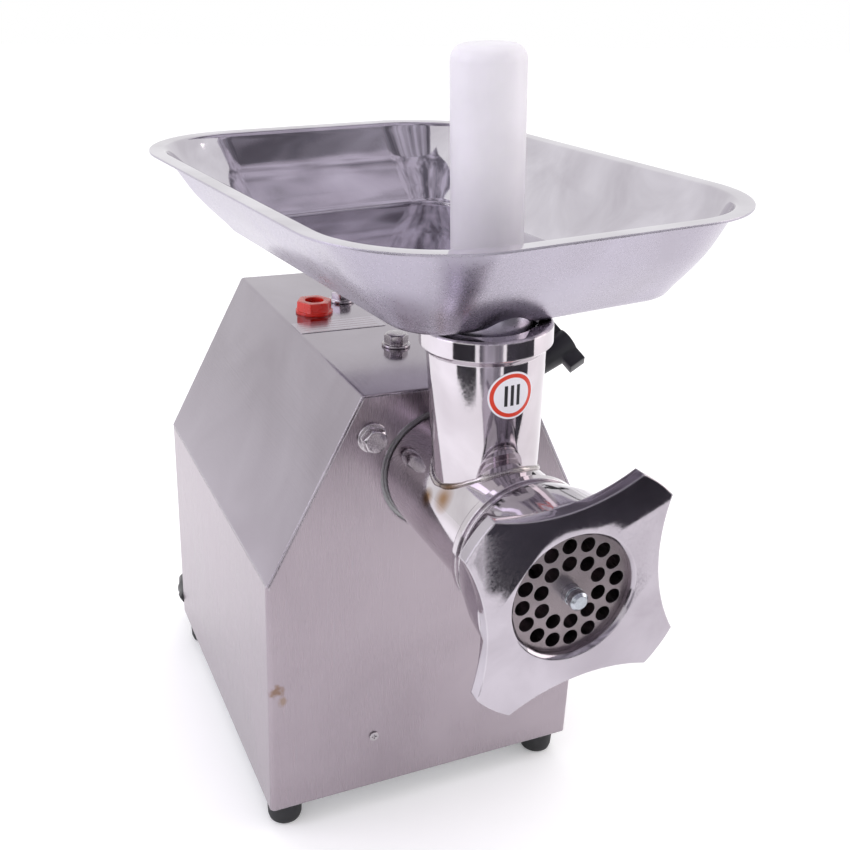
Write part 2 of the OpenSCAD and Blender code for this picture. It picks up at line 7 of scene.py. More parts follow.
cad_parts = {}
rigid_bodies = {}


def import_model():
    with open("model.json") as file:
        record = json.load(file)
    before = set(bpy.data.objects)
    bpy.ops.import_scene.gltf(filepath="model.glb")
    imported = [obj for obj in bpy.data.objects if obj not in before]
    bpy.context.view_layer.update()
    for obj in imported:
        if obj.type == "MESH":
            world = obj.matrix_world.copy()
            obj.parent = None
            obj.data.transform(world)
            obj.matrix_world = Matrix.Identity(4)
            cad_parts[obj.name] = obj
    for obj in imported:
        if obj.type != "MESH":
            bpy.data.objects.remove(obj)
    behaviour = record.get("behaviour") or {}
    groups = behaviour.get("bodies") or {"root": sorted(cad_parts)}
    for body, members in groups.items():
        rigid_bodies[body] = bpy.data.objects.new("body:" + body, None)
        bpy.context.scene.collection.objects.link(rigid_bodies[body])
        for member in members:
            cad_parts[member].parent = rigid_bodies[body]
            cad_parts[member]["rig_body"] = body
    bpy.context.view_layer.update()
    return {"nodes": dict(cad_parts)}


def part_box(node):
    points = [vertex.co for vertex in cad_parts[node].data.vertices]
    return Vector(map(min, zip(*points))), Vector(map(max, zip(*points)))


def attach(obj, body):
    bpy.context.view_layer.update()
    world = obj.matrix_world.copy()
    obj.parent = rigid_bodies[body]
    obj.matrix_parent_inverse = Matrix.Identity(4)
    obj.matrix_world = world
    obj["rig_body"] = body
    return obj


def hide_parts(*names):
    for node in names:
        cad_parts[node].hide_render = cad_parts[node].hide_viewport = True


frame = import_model()
nodes = frame["nodes"]

# --- Camera ---------------------------------------------------------------------------------
# A tall viewpoint at the front left: the lens looks down over the tray on the outlet side.

azimuth = math.radians(-25.1)
elevation = math.radians(23.33)
tilt = math.radians(2.386)
sensor = 36
focal_share = 1.267353
back = Vector((math.sin(azimuth) * math.cos(elevation),
               -math.cos(azimuth) * math.cos(elevation), math.sin(elevation)))
level = Vector((math.cos(azimuth), math.sin(azimuth), 0))
upright = back.cross(level)
across = level * math.cos(tilt) + upright * math.sin(tilt)
camera = bpy.data.objects.new("camera", bpy.data.cameras.new("camera"))
bpy.context.scene.collection.objects.link(camera)
camera.matrix_world = Matrix((across, back.cross(across), back)).transposed().to_4x4()
camera.location = (-0.2498, -0.6314, 0.51245)
camera.data.sensor_width = sensor
camera.data.lens = sensor * focal_share
camera.data.clip_start = 0.01
bpy.context.scene.camera = camera
bpy.context.scene.view_settings.view_transform = "Standard"


# --- Room: floor, lights and dark cards -------------------------------------------------------
# A white paper sweep under soft boxes. Dark cards stand where the unlit end of the room would
# be, so that polished metal has something dark to mirror between the lights.

def linear(colour):
    """An sRGB hex colour as linear red, green, blue and 1."""
    parts = [int(colour[n:n + 2], 16) / 255 for n in (1, 3, 5)]
    return tuple(p / 12.92 if p <= 0.04045 else ((p + 0.055) / 1.055) ** 2.4 for p in parts) + (1,)


def add_node(tree, kind, sockets=None, stops=(), **settings):
    """A shader node. A socket takes a value or a node's output, a stop is (position, sRGB hex)."""
    made = tree.nodes.new("ShaderNode" + kind)
    for name, value in settings.items():
        setattr(made, name, value)
    for name, value in (sockets or {}).items():
        if isinstance(value, bpy.types.NodeSocket):
            tree.links.new(value, made.inputs[name])
        else:
            made.inputs[name].default_value = value
    if stops:
        for stop, (position, colour) in zip(made.color_ramp.elements, stops):
            stop.position = position
            stop.color = linear(colour)
    return made


def new_material(name):
    """An empty node material and its tree."""
    made = bpy.data.materials.new(name)
    made.use_nodes = True
    made.node_tree.nodes.clear()
    return made, made.node_tree


def deselect():
    """Clears the selection, since an operator acts on all that is selected."""
    bpy.ops.object.select_all(action="DESELECT")


def soft_box(name, place, aim, size, power, colour):
    """A rectangular area light at a place, facing a point."""
    lamp = bpy.data.lights.new(name, "AREA")
    lamp.shape = "RECTANGLE"
    lamp.size, lamp.size_y = size
    lamp.energy = power
    lamp.color = linear(colour)[:3]
    holder = bpy.data.objects.new(name, lamp)
    bpy.context.scene.collection.objects.link(holder)
    holder.location = place
    away = Vector(place) - Vector(aim)
    holder.rotation_euler = away.to_track_quat("Z", "Y").to_euler()


def card(name, corners, finish):
    """A flag made of its four corners. Only glossy rays see it."""
    mesh = bpy.data.meshes.new(name)
    mesh.from_pydata(corners, [], [(0, 1, 2, 3)])
    made = bpy.data.objects.new(name, mesh)
    bpy.context.scene.collection.objects.link(made)
    mesh.materials.append(finish)
    made.visible_camera = False
    made.visible_diffuse = False
    made.visible_shadow = False
    made.visible_transmission = False


world = bpy.data.worlds.new("studio")
bpy.context.scene.world = world
world.use_nodes = True
world.node_tree.nodes["Background"].inputs["Color"].default_value = linear("#FFFFFF")
world.node_tree.nodes["Background"].inputs["Strength"].default_value = 1.0

deselect()
bpy.ops.mesh.primitive_plane_add(size=12, location=(0, 0, 0))
floor = bpy.context.object
floor.name = "floor"
paper, tree = new_material("white_paper")
where = add_node(tree, "TexCoord")
fibre = add_node(tree, "TexNoise", {"Vector": where.outputs["Object"], "Scale": 3.0, "Detail": 3})
colour = add_node(tree, "ValToRGB", {"Fac": fibre.outputs["Fac"]}, [(0.3, "#F7F6F8"), (0.7, "#FAF9FB")])
surface = add_node(tree, "BsdfPrincipled", {
    "Base Color": colour.outputs["Color"], "Roughness": 0.9,
    "Emission Color": linear("#FFFFFF"), "Emission Strength": 0.16})
add_node(tree, "OutputMaterial", {"Surface": surface.outputs[0]})
floor.data.materials.append(paper)

soft_box("top_box", (0.1, 0.1, 1.7), (0, -0.02, 0.2), (1.4, 1.2), 6, "#FFFFFF")
soft_box("left_box", (-1.5, 0.1, 0.9), (0, 0, 0.2), (0.9, 1.3), 7, "#EFEAFF")
soft_box("right_box", (1.5, -0.6, 0.8), (0, -0.1, 0.25), (0.8, 1.2), 5, "#FFF4F2")

black, tree = new_material("black_cloth")
where = add_node(tree, "TexCoord")
nap = add_node(tree, "TexNoise", {"Vector": where.outputs["Object"], "Scale": 4.0, "Detail": 3})
colour = add_node(tree, "ValToRGB", {"Fac": nap.outputs["Fac"]}, [(0.35, "#1E1D22"), (0.7, "#38363E")])
surface = add_node(tree, "BsdfPrincipled", {"Base Color": colour.outputs["Color"], "Roughness": 0.9})
add_node(tree, "OutputMaterial", {"Surface": surface.outputs[0]})
grey, tree = new_material("grey_curtain")
where = add_node(tree, "TexCoord")
folds = add_node(tree, "Mapping", {"Vector": where.outputs["Object"], "Scale": (5, 5, 0.4)})
folds = add_node(tree, "TexNoise", {"Vector": folds.outputs[0], "Scale": 1.0, "Detail": 2})
colour = add_node(tree, "ValToRGB", {"Fac": folds.outputs["Fac"]}, [(0.38, "#5E5B63"), (0.62, "#BBB7C1")])
surface = add_node(tree, "BsdfPrincipled", {"Base Color": colour.outputs["Color"], "Roughness": 0.9})
add_node(tree, "OutputMaterial", {"Surface": surface.outputs[0]})
for name, finish, (x1, y1), (x2, y2), low, high in (
        ("left_card", black, (-0.60, -0.25), (-0.40, -0.60), 0.002, 0.26),
        ("middle_card", grey, (-0.36, -0.66), (0.02, -0.78), 0.002, 0.22),
        ("right_card", black, (0.06, -0.672), (0.66, -0.56), 0.002, 0.28),
        ("curtain", grey, (-0.9, -1.3), (1.6, -1.1), 0.55, 2.6)):
    card(name, [(x1, y1, low), (x2, y2, low), (x2, y2, high), (x1, y1, high)], finish)
card("ceiling_card", [(-0.7, -0.7, 1.35), (0.8, -0.7, 1.35), (0.8, 0.7, 1.35), (-0.7, 0.7, 1.35)], grey)

# --- Casing -----------------------------------------------------------------------------------
# The front wrap, the top cover and the louvred back are folded from 1.2 mm stainless sheet and
# polished with the grain: a soft mirror with fine lines, smears from handling, brighter bends.

def edge_wear(tree, eased, much):
    """0 on the flat and up to much on corners, where the eased normal leaves the true one."""
    shape = add_node(tree, "NewGeometry")
    along = add_node(tree, "VectorMath", {0: eased, 1: shape.outputs["Normal"]}, operation="DOT_PRODUCT")
    return add_node(tree, "MapRange", {"Value": along.outputs["Value"], "From Min": 0.99, "From Max": 0.8,
                                       "To Min": 0.0, "To Max": much}).outputs[0]


def stained(tree, colour, where, torn, limits, stains):
    """A colour with stains of (centre, radius, sRGB hex), torn by a noise between two limits."""
    for centre, radius, tint in stains:
        away = add_node(tree, "VectorMath", {0: where, 1: centre}, operation="DISTANCE")
        spot = add_node(tree, "MapRange", {
            "Value": away.outputs["Value"], "From Min": radius, "From Max": 0.0})
        mask = add_node(tree, "Math", {0: spot.outputs[0], 1: torn}, operation="MULTIPLY")
        mask = add_node(tree, "MapRange", {
            "Value": mask.outputs[0], "From Min": limits[0], "From Max": limits[1]})
        colour = add_node(tree, "Mix", {"Factor": mask.outputs[0], "A": colour, "B": linear(tint)},
                          data_type="RGBA").outputs["Result"]
    return colour


def brushed(name, dark, light, rough, grain, bend, stains=()):
    """A sheet metal with grain of (x, y, z) millimetres, roughness (least, most), and eased bends."""
    made, tree = new_material(name)
    where = add_node(tree, "TexCoord").outputs["Object"]
    eased = add_node(tree, "Bevel", {"Radius": bend}, samples=4).outputs[0]
    place = add_node(tree, "Mapping", {"Vector": where, "Scale": [1000 / g for g in grain]})
    lines = add_node(tree, "TexNoise", {"Vector": place.outputs[0], "Scale": 1.0, "Detail": 5})
    smear = add_node(tree, "TexNoise", {"Vector": where, "Scale": 11, "Detail": 4, "Distortion": 0.6})
    torn = add_node(tree, "TexNoise", {"Vector": where, "Scale": 260, "Detail": 5})
    colour = add_node(tree, "ValToRGB", {"Fac": smear.outputs["Fac"]}, [(0.3, dark), (0.72, light)])
    tone = add_node(tree, "MapRange", {"Value": lines.outputs["Fac"], "To Min": 0.975, "To Max": 1.025})
    colour = add_node(tree, "Mix", {"Factor": 1.0, "A": colour.outputs["Color"], "B": tone.outputs[0]},
                      data_type="RGBA", blend_type="MULTIPLY").outputs["Result"]
    wear = edge_wear(tree, eased, 0.5)
    colour = add_node(tree, "Mix", {"Factor": wear, "A": colour, "B": linear("#DEDADF")},
                      data_type="RGBA").outputs["Result"]
    colour = stained(tree, colour, where, torn.outputs["Fac"], (0.22, 0.42), stains)
    gloss = add_node(tree, "Math", {0: lines.outputs["Fac"], 1: smear.outputs["Fac"]}, operation="ADD")
    rough_map = add_node(tree, "MapRange", {"Value": gloss.outputs[0], "From Min": 0.7, "From Max": 1.3,
                                            "To Min": rough[0], "To Max": rough[1]})
    bump = add_node(tree, "Bump", {"Height": lines.outputs["Fac"], "Strength": 0.05,
                                   "Distance": 0.00012, "Normal": eased})
    surface = add_node(tree, "BsdfPrincipled", {
        "Base Color": colour, "Metallic": 1.0, "Roughness": rough_map.outputs[0],
        "Normal": bump.outputs[0]})
    add_node(tree, "OutputMaterial", {"Surface": surface.outputs[0]})
    return made


def dress(finish, *names):
    """Gives CAD nodes, by name, or new pieces one finish."""
    for name in names:
        piece = nodes[name] if isinstance(name, str) else name
        piece.data.materials.clear()
        piece.data.materials.append(finish)


# Two brown stains low on the front's left edge
front_stains = [((-0.1015, -0.123, 0.110), 0.010, "#8A7468"),
                ((-0.098, -0.123, 0.102), 0.007, "#97857C")]
# The grain is drawn 0.5 mm wide, since the real 0.05 mm lines are too fine to show
front_sheet = brushed("brushed_stainless_upright", "#9B9198", "#AAA0A7",
                      (0.22, 0.34), (0.5, 0.5, 40), 0.0016, front_stains)
top_sheet = brushed("brushed_stainless_flat", "#968E97", "#A7A0A9",
                    (0.09, 0.2), (0.5, 40, 0.5), 0.0014)
dress(front_sheet, "front_wrap", "rear_panel")
dress(top_sheet, "top_cover")

# Under the casing the base plate, the motor cradle and the capacitor strap are zinc-plated mild
# steel: greyer than stainless, with the blotchy bloom of plating.
zinc_sheet = brushed("zinc_plated_sheet", "#9C9EA2", "#B6B8BA", (0.35, 0.55), (3, 3, 3), 0.0008)
dress(zinc_sheet, "base_plate", "motor_cradle", "capacitor_bracket")

# --- Feet -------------------------------------------------------------------------------------
# Four round rubber buffers, moulded black, each held by a screw up through a recess. Rubber
# gives a dull sheen with a dusty bloom; the corners rub paler.


def moulded(name, dark, light, rough, grain, depth, worn, corner=0.0006, coat=0.0, through=0.0):
    """A moulded rubber or plastic: grain in millimetres, its depth, and a paler tone on corners."""
    made, tree = new_material(name)
    where = add_node(tree, "TexCoord").outputs["Object"]
    eased = add_node(tree, "Bevel", {"Radius": corner}, samples=4).outputs[0]
    cloud = add_node(tree, "TexNoise", {"Vector": where, "Scale": 60, "Detail": 4})
    pits = add_node(tree, "TexNoise", {"Vector": where, "Scale": 1000 / grain, "Detail": 3})
    colour = add_node(tree, "ValToRGB", {"Fac": cloud.outputs["Fac"]}, [(0.3, dark), (0.7, light)])
    wear = edge_wear(tree, eased, 0.6)
    colour = add_node(tree, "Mix", {"Factor": wear, "A": colour.outputs["Color"], "B": linear(worn)},
                      data_type="RGBA").outputs["Result"]
    rough_map = add_node(tree, "MapRange", {"Value": cloud.outputs["Fac"], "From Min": 0.3,
                                            "From Max": 0.7, "To Min": rough[0], "To Max": rough[1]})
    bump = add_node(tree, "Bump", {"Height": pits.outputs["Fac"], "Strength": 0.25,
                                   "Distance": depth, "Normal": eased})
    surface = add_node(tree, "BsdfPrincipled", {
        "Base Color": colour, "Roughness": rough_map.outputs[0], "Normal": bump.outputs[0],
        "IOR": 1.5, "Coat Weight": coat, "Subsurface Weight": through,
        "Subsurface Radius": (0.004, 0.003, 0.003)})
    add_node(tree, "OutputMaterial", {"Surface": surface.outputs[0]})
    return made


rubber = moulded("moulded_black_rubber", "#141417", "#232327", (0.55, 0.75), 0.6, 0.0002,
                 "#4A4A50", 0.001)
dress(rubber, "foot_front_left", "foot_front_right", "foot_rear_left", "foot_rear_right")

# --- Screws and bolts -------------------------------------------------------------------------
# M8 stainless flange bolts hold the casing to the gearbox, and M3 pan-head screws with a cross
# recess close the casing. Cold-headed: bright flats, a pressed washer face, dark recesses.


def machined(name, dark, light, rough, grain, corner=0.0005, depth=0.0001):
    """A bare machined or headed metal with grain in (x, y, z) millimetres, cut to a depth."""
    made, tree = new_material(name)
    where = add_node(tree, "TexCoord").outputs["Object"]
    eased = add_node(tree, "Bevel", {"Radius": corner}, samples=4).outputs[0]
    place = add_node(tree, "Mapping", {"Vector": where, "Scale": [1000 / g for g in grain]})
    lines = add_node(tree, "TexNoise", {"Vector": place.outputs[0], "Scale": 1.0, "Detail": 4})
    cloud = add_node(tree, "TexNoise", {"Vector": where, "Scale": 45, "Detail": 4})
    colour = add_node(tree, "ValToRGB", {"Fac": cloud.outputs["Fac"]}, [(0.3, dark), (0.7, light)])
    wear = edge_wear(tree, eased, 0.5)
    colour = add_node(tree, "Mix", {"Factor": wear, "A": colour.outputs["Color"], "B": linear("#E6E3E6")},
                      data_type="RGBA").outputs["Result"]
    rough_map = add_node(tree, "MapRange", {"Value": lines.outputs["Fac"], "From Min": 0.3,
                                            "From Max": 0.7, "To Min": rough[0], "To Max": rough[1]})
    bump = add_node(tree, "Bump", {"Height": lines.outputs["Fac"], "Strength": 0.15,
                                   "Distance": depth, "Normal": eased})
    surface = add_node(tree, "BsdfPrincipled", {
        "Base Color": colour, "Metallic": 1.0, "Roughness": rough_map.outputs[0],
        "Normal": bump.outputs[0]})
    add_node(tree, "OutputMaterial", {"Surface": surface.outputs[0]})
    return made


def apply_all(piece):
    """Applies a piece's modifiers in turn."""
    deselect()
    piece.select_set(True)
    bpy.context.view_layer.objects.active = piece
    for modifier in list(piece.modifiers):
        bpy.ops.object.modifier_apply(modifier=modifier.name)


def bevelled(piece, width, segments, angle=30):
    """Rounds a piece's sharp edges and shades it smooth between them."""
    bevel = piece.modifiers.new("edges", "BEVEL")
    bevel.width = width
    bevel.segments = segments
    bevel.limit_method = "ANGLE"
    bevel.angle_limit = math.radians(angle)
    apply_all(piece)
    bpy.ops.object.shade_smooth_by_angle(angle=math.radians(angle))


def softened(name, node, width, segments=2, angle=30):
    """A piece that stands for a CAD node, with the same shape and rounded edges."""
    piece = nodes[node].copy()
    piece.data = nodes[node].data.copy()
    piece.name = name
    for key in list(piece.keys()):
        del piece[key]
    piece.parent = None
    bpy.context.scene.collection.objects.link(piece)
    deselect()
    piece.select_set(True)
    bpy.context.view_layer.objects.active = piece
    bpy.ops.object.mode_set(mode="EDIT")
    bpy.ops.mesh.select_all(action="SELECT")
    bpy.ops.mesh.remove_doubles(threshold=0.00001)
    bpy.ops.mesh.dissolve_limited(angle_limit=math.radians(0.6))
    bpy.ops.object.mode_set(mode="OBJECT")
    bpy.ops.mesh.customdata_custom_splitnormals_clear()
    bevelled(piece, width, segments, angle)
    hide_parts(node)
    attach(piece, nodes[node]["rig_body"])
    return piece


def joined(name, pieces):
    """Several objects made one piece, with its object at the origin."""
    deselect()
    for piece in pieces:
        piece.select_set(True)
    bpy.context.view_layer.objects.active = pieces[0]
    if len(pieces) > 1:
        bpy.ops.object.join()
    bpy.ops.object.transform_apply(location=True, rotation=True, scale=True)
    pieces[0].name = name
    return pieces[0]


def cut_with(piece, cutter, operation="DIFFERENCE"):
    """Takes a cutter's shape from a piece, or keeps what they share."""
    cut = piece.modifiers.new("cut", "BOOLEAN")
    cut.object = cutter
    cut.operation = operation
    cut.solver = "EXACT"
    apply_all(piece)
    bpy.data.objects.remove(cutter)


def seated(piece, place, toward, turn):
    """Turns a piece about its own axis, faces it in a direction and sets it at a place."""
    facing = Vector(toward).to_track_quat("Z", "Y").to_matrix()
    piece.rotation_euler = (facing @ Matrix.Rotation(turn, 3, "Z")).to_euler()
    piece.location = place
    return piece


bright_bolt = machined("cold_headed_stainless", "#A8A2A6", "#C9C4C8", (0.14, 0.3), (1.2, 1.2, 1.2),
                       0.0004)


def flange_bolt(place, toward, turn):
    """An M8 hexagon bolt head with its flange, seated at a place and facing a direction."""
    hexagon_r, head_h, head_top = 0.0075, 0.0064, 0.008
    flange_r, flange_h = 0.0089, 0.0018
    middle = (0, 0, head_top - head_h / 2)
    bpy.ops.mesh.primitive_cylinder_add(vertices=6, radius=hexagon_r, depth=head_h, location=middle)
    head = bpy.context.object
    bpy.ops.mesh.primitive_cone_add(vertices=48, radius1=0.0131, radius2=0.0061, depth=head_h,
                                    location=middle)
    cut_with(head, bpy.context.object, "INTERSECT")
    bevelled(head, 0.0002, 2, 20)
    bpy.ops.object.mode_set(mode="EDIT")
    bpy.ops.mesh.select_all(action="DESELECT")
    bpy.ops.object.mode_set(mode="OBJECT")
    for face in head.data.polygons:
        on_top = face.normal.z > 0.99 and face.center.z > head_top - 0.0001
        face.select = on_top and face.area > 0.00003
    bpy.ops.object.mode_set(mode="EDIT")
    bpy.ops.mesh.inset(thickness=0.0012)
    bpy.ops.transform.translate(value=(0, 0, -0.0003))
    bpy.ops.object.mode_set(mode="OBJECT")
    bpy.ops.mesh.primitive_cylinder_add(vertices=48, radius=flange_r, depth=flange_h,
                                        location=(0, 0, flange_h / 2))
    flange = bpy.context.object
    bevelled(flange, 0.0005, 3)
    return seated(joined("bolt", [head, flange]), place, toward, turn)


front_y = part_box("front_wrap")[0].y
top_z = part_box("top_cover")[1].z
axis_z = 0.2415
front_bolts_z = axis_z + 0.026
deselect()
front_heads = joined("front_bolt_heads", [
    flange_bolt((x, front_y, front_bolts_z), (0, -1, 0), turn)
    for x, turn in ((-0.044, 0.3), (0.044, 0.9))])
top_heads = joined("top_bolt_heads", [
    flange_bolt((0, front_y + from_front, top_z), (0, 0, 1), turn)
    for from_front, turn in ((0.072, 0.19), (0.170, 0.6))])
for piece, node in ((front_heads, "front_bolts"), (top_heads, "top_bolts")):
    dress(bright_bolt, piece)
    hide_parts(node)
    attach(piece, "machine")


def cross_screw(place, toward, turn):
    """An M3 pan head with a cross recess, seated at a place and facing a direction."""
    head_r, head_h, recess_z = 0.0032, 0.002, 0.0019
    bpy.ops.mesh.primitive_cylinder_add(vertices=40, radius=head_r, depth=head_h,
                                        location=(0, 0, head_h / 2))
    head = bpy.context.object
    for recess in ((0.0034, 0.0008, 0.0014), (0.0008, 0.0034, 0.0014)):
        bpy.ops.mesh.primitive_cube_add(size=1, location=(0, 0, recess_z), scale=recess)
        cut_with(head, bpy.context.object)
    for corner in head.data.vertices:
        if corner.co.z > 0.0015 and corner.co.xy.length > 0.0025:
            corner.co.xy *= 0.8
    bevelled(head, 0.00015, 2)
    return seated(head, place, toward, turn)


rear_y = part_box("rear_panel")[1].y
front_screw_x, front_screw_z = -0.0385, 0.0588
screw_places = [((front_screw_x, front_y, front_screw_z), (0, -1, 0))]
screw_places += [((x, rear_y, z), (0, 1, 0)) for x in (-0.097, 0.097) for z in (0.070, 0.175)]
screw_places += [((x, rear_y, 0.283), (0, 1, 0)) for x in (-0.042, 0.042)]
screws = joined("cross_head_screws", [
    cross_screw(place, toward, 0.7 * n) for n, (place, toward) in enumerate(screw_places)])
dress(bright_bolt, screws)
zinc_screw = machined("zinc_plated_screw", "#A3A6A9", "#C0C2C2", (0.25, 0.4), (1, 1, 1), 0.0003)
dress(zinc_screw, "foot_screws", "panel_screws", "cover_bolts", "tie_bolts")
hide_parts("panel_screws")
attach(screws, "machine")

# --- Label ------------------------------------------------------------------------------------
# A clear film label on the top cover. Its print is left as plain thin lines, so it gives only a
# slightly cloudier patch with faint dark rows.

film, tree = new_material("printed_clear_film")
where = add_node(tree, "TexCoord").outputs["Object"]
row_pitch, row_width = 0.0042, 0.0011
rows_from, rows_to = -0.045, 0.005
parts = add_node(tree, "SeparateXYZ", {"Vector": where})
rows = add_node(tree, "Math", {0: parts.outputs["Y"], 1: row_pitch}, operation="FLOORED_MODULO")
line = add_node(tree, "Math", {0: rows.outputs[0], 1: row_width}, operation="LESS_THAN")
low_x = add_node(tree, "Math", {0: parts.outputs["X"], 1: rows_from}, operation="GREATER_THAN")
high_x = add_node(tree, "Math", {0: parts.outputs["X"], 1: rows_to}, operation="LESS_THAN")
inside = add_node(tree, "Math", {0: low_x.outputs[0], 1: high_x.outputs[0]}, operation="MULTIPLY")
ink = add_node(tree, "Math", {0: line.outputs[0], 1: inside.outputs[0]}, operation="MULTIPLY")
worn = add_node(tree, "TexNoise", {"Vector": where, "Scale": 700, "Detail": 3})
ink = add_node(tree, "Math", {0: ink.outputs[0], 1: worn.outputs["Fac"]}, operation="MULTIPLY")
cloud = add_node(tree, "TexNoise", {"Vector": where, "Scale": 90, "Detail": 3})
ground = add_node(tree, "ValToRGB", {"Fac": cloud.outputs["Fac"]}, [(0.3, "#A59DA8"), (0.7, "#AEA6B1")])
colour = add_node(tree, "Mix", {"Factor": ink.outputs[0], "A": ground.outputs["Color"],
                                "B": linear("#7C5F6E")}, data_type="RGBA")
rough_map = add_node(tree, "MapRange", {"Value": cloud.outputs["Fac"], "To Min": 0.16, "To Max": 0.28})
bump = add_node(tree, "Bump", {"Height": cloud.outputs["Fac"], "Strength": 0.1, "Distance": 0.0002})
surface = add_node(tree, "BsdfPrincipled", {
    "Base Color": colour.outputs["Result"], "Metallic": 0.85, "Roughness": rough_map.outputs[0],
    "Normal": bump.outputs[0], "Coat Weight": 0.4, "Coat Roughness": 0.12})
add_node(tree, "OutputMaterial", {"Surface": surface.outputs[0]})
dress(film, "label_plate")

# --- Switch -----------------------------------------------------------------------------------
# A push switch with a red moulded hexagonal guard ring over a red button; the body and its nut
# are black nylon. Glossy ABS: a clear highlight, a deep red in the hole.

red = moulded("glossy_red_abs", "#C31208", "#DE2311", (0.2, 0.32), 1.2, 0.00005, "#EE4A34",
              0.0008, coat=0.25, through=0.06)
guard = softened("switch_guard", "switch_cap", 0.0007, 3)
button = softened("switch_push_button", "switch_button", 0.0004, 2)
dress(red, guard, button)
nylon = moulded("moulded_black_nylon", "#0F0F11", "#1B1B1E", (0.3, 0.48), 0.5, 0.0001,
                "#3C3C42", 0.0007)
dress(nylon, "switch_body", "terminal_block")

# --- Mains gland ------------------------------------------------------------------------------
# A black nylon cable gland in the back panel, low at the left: hexagon, round sealing
# nut and tapered end. No cord is fitted.

gland = softened("gland_body", "cable_gland", 0.0006, 2)
back_nut = softened("gland_back_nut", "gland_nut", 0.0004, 2)
dress(nylon, gland, back_nut)

# --- Clamp ------------------------------------------------------------------------------------
# A zinc-plated clamping screw with a moulded black wing knob; it holds the head's spigot in the
# gearbox socket. The knob's bar has rounded corners and a satin face.

knob = softened("wing_knob", "clamp_knob", 0.0011, 3)
phenolic = moulded("satin_black_phenolic", "#131317", "#212128", (0.34, 0.5), 0.8, 0.00012,
                   "#44454D", 0.001)
dress(phenolic, knob)
zinc_rod = machined("zinc_plated_rod", "#9FA3A7", "#BFC3C4", (0.2, 0.35), (2, 2, 0.6), 0.0004)
dress(zinc_rod, "clamp_screw")

# --- Grinding head ----------------------------------------------------------------------------
# The barrel and its leaning neck are cast stainless, turned and then polished bright on a mop.
# The neck is welded on, and heat has left a straw-brown stain beside the ground-back bead.


def polished(name, dark, light, rough, wave, corner, stains=()):
    """A mop-polished metal: faint waves of wave millimetres, fine scratches and dull smudges."""
    made, tree = new_material(name)
    where = add_node(tree, "TexCoord").outputs["Object"]
    eased = add_node(tree, "Bevel", {"Radius": corner}, samples=4).outputs[0]
    cloud = add_node(tree, "TexNoise", {"Vector": where, "Scale": 24, "Detail": 4, "Distortion": 0.5})
    scratch = add_node(tree, "TexNoise", {"Vector": where, "Scale": 900, "Detail": 4})
    ripple = add_node(tree, "TexNoise", {"Vector": where, "Scale": 1000 / wave, "Detail": 1})
    colour = add_node(tree, "ValToRGB", {"Fac": cloud.outputs["Fac"]}, [(0.32, dark), (0.7, light)])
    wear = edge_wear(tree, eased, 0.4)
    colour = add_node(tree, "Mix", {"Factor": wear, "A": colour.outputs["Color"], "B": linear("#EFECEF")},
                      data_type="RGBA").outputs["Result"]
    colour = stained(tree, colour, where, cloud.outputs["Fac"], (0.1, 0.4), stains)
    gloss = add_node(tree, "Math", {0: cloud.outputs["Fac"], 1: scratch.outputs["Fac"]},
                     operation="MULTIPLY")
    rough_map = add_node(tree, "MapRange", {"Value": gloss.outputs[0], "From Min": 0.15,
                                            "From Max": 0.4, "To Min": rough[0], "To Max": rough[1]})
    waves = add_node(tree, "Bump", {"Height": ripple.outputs["Fac"], "Strength": 0.25,
                                    "Distance": 0.0006, "Normal": eased})
    bump = add_node(tree, "Bump", {"Height": scratch.outputs["Fac"], "Strength": 0.05,
                                   "Distance": 0.0001, "Normal": waves.outputs[0]})
    surface = add_node(tree, "BsdfPrincipled", {
        "Base Color": colour, "Metallic": 1.0, "Roughness": rough_map.outputs[0],
        "Normal": bump.outputs[0]})
    add_node(tree, "OutputMaterial", {"Surface": surface.outputs[0]})
    return made


# Heat stains, on the welded side of the neck
heat_stains = [((-0.029, -0.190, 0.258), 0.011, "#9A7A60"), ((-0.033, -0.176, 0.253), 0.008, "#86694F")]
mop_steel = polished("mop_polished_stainless", "#B9B2B7", "#D3CDD2", (0.03, 0.1), 30, 0.001,
                     heat_stains)
dress(mop_steel, "head_body")

neck_lean = math.radians(3.3)
neck_ahead = 0.055
neck_foot = Vector((0, front_y - neck_ahead, axis_z))
neck_frame = Matrix.Translation(neck_foot) @ Matrix.Rotation(-neck_lean, 4, "Y")
barrel_r = 0.0357
neck_r = 0.0276
bead_r = 0.0016
bead_ring_r = neck_r + 0.0002
lump_count = 48
deselect()
bpy.ops.mesh.primitive_torus_add(major_radius=bead_ring_r, minor_radius=bead_r,
                                 major_segments=144, minor_segments=10)
bead = bpy.context.object
bead.name = "neck_weld_bead"
random.seed(4)
lumps = [random.uniform(0.75, 1.15) for n in range(lump_count)]
for corner in bead.data.vertices:
    angle = math.atan2(corner.co.y, corner.co.x)
    ring = Vector((math.cos(angle), math.sin(angle), 0)) * bead_ring_r
    share = (angle / math.tau % 1) * lump_count
    lump, further = int(share), share % 1
    size = lumps[lump % lump_count] * (1 - further) + lumps[(lump + 1) % lump_count] * further
    offset = (corner.co - ring) * size
    saddle = math.sqrt(barrel_r ** 2 - (neck_r * math.cos(angle)) ** 2)
    corner.co = neck_frame @ (ring + offset + Vector((0, 0, saddle)))
bpy.ops.object.shade_smooth()
bead_steel = polished("ground_weld_bead", "#9C9594", "#C9C3C4", (0.12, 0.34), 3, 0.0004,
                      [((-0.026, -0.190, 0.262), 0.018, "#5F4A3A")])
dress(bead_steel, bead)
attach(bead, "head")

# --- Roundel ----------------------------------------------------------------------------------
# A round vinyl sticker of 25 mm on the neck's front, bent to its curve: a white disc with a red
# ring and plain dark bars, in place of the printed sign.

